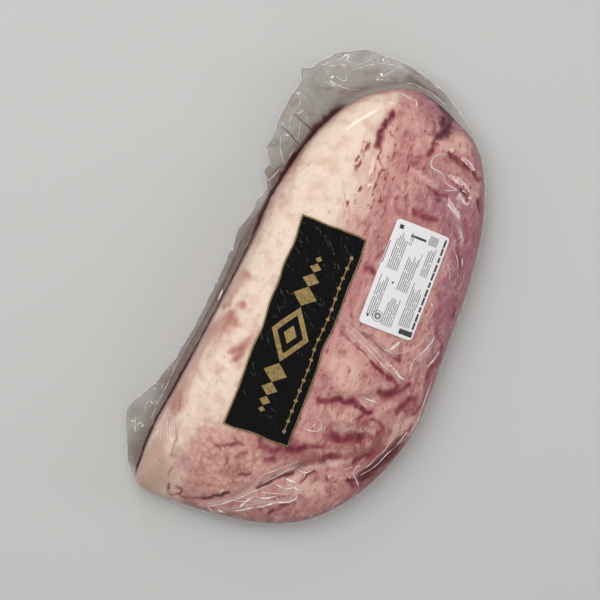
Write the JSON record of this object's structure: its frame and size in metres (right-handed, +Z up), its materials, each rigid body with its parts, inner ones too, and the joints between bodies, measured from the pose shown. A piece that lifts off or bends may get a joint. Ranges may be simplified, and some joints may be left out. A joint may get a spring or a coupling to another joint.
{
  "type": "vacuum-packed raw beef brisket",
  "caption": "Whole raw brisket sealed tight in a clear vacuum bag with a loose skirt of film, and flat labels on its upper face. Lies flat.",
  "frame": {"origin": "on the floor under the middle of the pack's box", "axes": "+X along the brisket towards the end with the loose film, +Y towards the side with the film skirt, +Z up"},
  "size_m": [0.4697, 0.2654, 0.08],
  "materials": {
    "raw_beef": "moist raw beef with cream fat, seen through the film",
    "clear_film": "clear glossy barrier film",
    "black_label": "black satin print under film",
    "gold_print": "gold foil print",
    "white_label": "white coated label stock",
    "label_ink": "black and grey thermal print"
  },
  "bodies": {
    "root": {"sealed_bag": "raw_beef", "front_label": "black_label", "weight_label": "white_label"}
  },
  "joints": []
}
